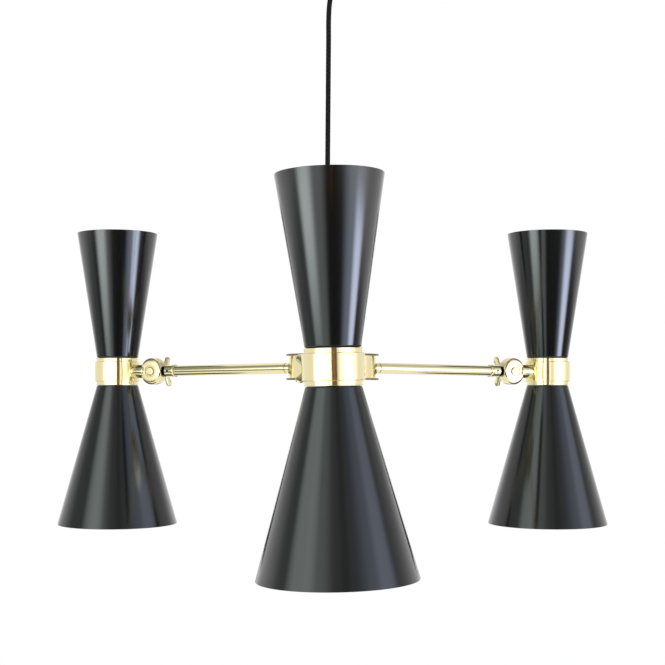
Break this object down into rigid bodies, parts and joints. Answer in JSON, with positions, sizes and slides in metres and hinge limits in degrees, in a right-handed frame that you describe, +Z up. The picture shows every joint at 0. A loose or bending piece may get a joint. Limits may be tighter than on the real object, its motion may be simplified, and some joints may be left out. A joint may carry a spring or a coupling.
{
  "type": "chandelier",
  "caption": "Hanging chandelier: double-cone black lamps on brass arms with tilting swivels and wing nuts, round a brass drum hub on a cord from a ceiling cup.",
  "frame": {"origin": "middle of the ceiling strap's top face, where it is screwed to the ceiling", "axes": "+Z up out of the ceiling, -Y towards the front lamp, +X to the right lamp's side"},
  "size_m": [0.758, 0.6782, 0.7576],
  "materials": {
    "polished_brass": "polished and lacquered",
    "black_paint": "satin black",
    "plated_steel": "zinc plated",
    "black_moulding": "matt thermoset",
    "terminal_plastic": "matt",
    "cord_sleeve": "braided textile"
  },
  "bodies": {
    "ceiling_rose": {"ceiling_strap": "plated_steel", "rose_cup": "polished_brass", "rose_screw_1": "polished_brass", "rose_screw_2": "polished_brass", "rose_cord_grip": "polished_brass", "rose_grip_nut": "plated_steel", "rose_terminal_block": "terminal_plastic"},
    "pendant": {"supply_cord": "cord_sleeve", "hub_drum": "polished_brass", "hub_top_lid": "polished_brass", "hub_bottom_lid": "polished_brass", "hub_centre_rod": "plated_steel", "hub_cord_grip": "polished_brass", "hub_finial": "polished_brass", "hub_terminal_block": "terminal_plastic", "front_arm_stud": "polished_brass", "front_arm_tube": "polished_brass", "front_ferrule": "polished_brass", "front_set_screw": "plated_steel", "front_arm_swivel": "polished_brass", "right_arm_stud": "polished_brass", "right_arm_tube": "polished_brass", "right_ferrule": "polished_brass", "right_set_screw": "plated_steel", "right_arm_swivel": "polished_brass", "left_arm_stud": "polished_brass", "left_arm_tube": "polished_brass", "left_ferrule": "polished_brass", "left_set_screw": "plated_steel", "left_arm_swivel": "polished_brass"},
    "front_lamp": {"front_lamp_swivel": "polished_brass", "front_pivot_bolt": "polished_brass", "front_stem_sleeve": "polished_brass", "front_collar": "polished_brass", "front_centre_rod": "plated_steel", "front_upper_shade": "black_paint", "front_lower_shade": "black_paint", "front_upper_lampholder": "black_moulding", "front_lower_lampholder": "black_moulding"},
    "front_nut": {"front_wing_nut": "polished_brass"},
    "right_lamp": {"right_lamp_swivel": "polished_brass", "right_pivot_bolt": "polished_brass", "right_stem_sleeve": "polished_brass", "right_collar": "polished_brass", "right_centre_rod": "plated_steel", "right_upper_shade": "black_paint", "right_lower_shade": "black_paint", "right_upper_lampholder": "black_moulding", "right_lower_lampholder": "black_moulding"},
    "right_nut": {"right_wing_nut": "polished_brass"},
    "left_lamp": {"left_lamp_swivel": "polished_brass", "left_pivot_bolt": "polished_brass", "left_stem_sleeve": "polished_brass", "left_collar": "polished_brass", "left_centre_rod": "plated_steel", "left_upper_shade": "black_paint", "left_lower_shade": "black_paint", "left_upper_lampholder": "black_moulding", "left_lower_lampholder": "black_moulding"},
    "left_nut": {"left_wing_nut": "polished_brass"}
  },
  "joints": [
    {"name": "pendant_turn", "type": "hinge", "parent": "ceiling_rose", "child": "pendant", "pos_m": [0, 0, -0.0563], "axis": [0, 0, 1], "range_deg": [-180, 180]},
    {"name": "front_lamp_tilt", "type": "hinge", "parent": "pendant", "child": "front_lamp", "pos_m": [0.00069, -0.28196, -0.54627], "axis": [0.9998, 0.0021, 0.0209], "range_deg": [-75, 75]},
    {"name": "front_wing_nut_turn", "type": "hinge", "parent": "front_lamp", "child": "front_nut", "pos_m": [0.00069, -0.28196, -0.54627], "axis": [-0.9998, -0.0021, -0.0209], "range_deg": [0, 180]},
    {"name": "right_lamp_tilt", "type": "hinge", "parent": "pendant", "child": "right_lamp", "pos_m": [0.2442, 0.14099, -0.54504], "axis": [-0.5, 0.866, 0], "range_deg": [-75, 75]},
    {"name": "right_wing_nut_turn", "type": "hinge", "parent": "right_lamp", "child": "right_nut", "pos_m": [0.2442, 0.14099, -0.54504], "axis": [-0.5, 0.866, 0], "range_deg": [0, 180]},
    {"name": "left_lamp_tilt", "type": "hinge", "parent": "pendant", "child": "left_lamp", "pos_m": [-0.2442, 0.14099, -0.54504], "axis": [-0.5, -0.866, 0], "range_deg": [-75, 75]},
    {"name": "left_wing_nut_turn", "type": "hinge", "parent": "left_lamp", "child": "left_nut", "pos_m": [-0.2442, 0.14099, -0.54504], "axis": [0.5, 0.866, 0], "range_deg": [0, 180]}
  ]
}
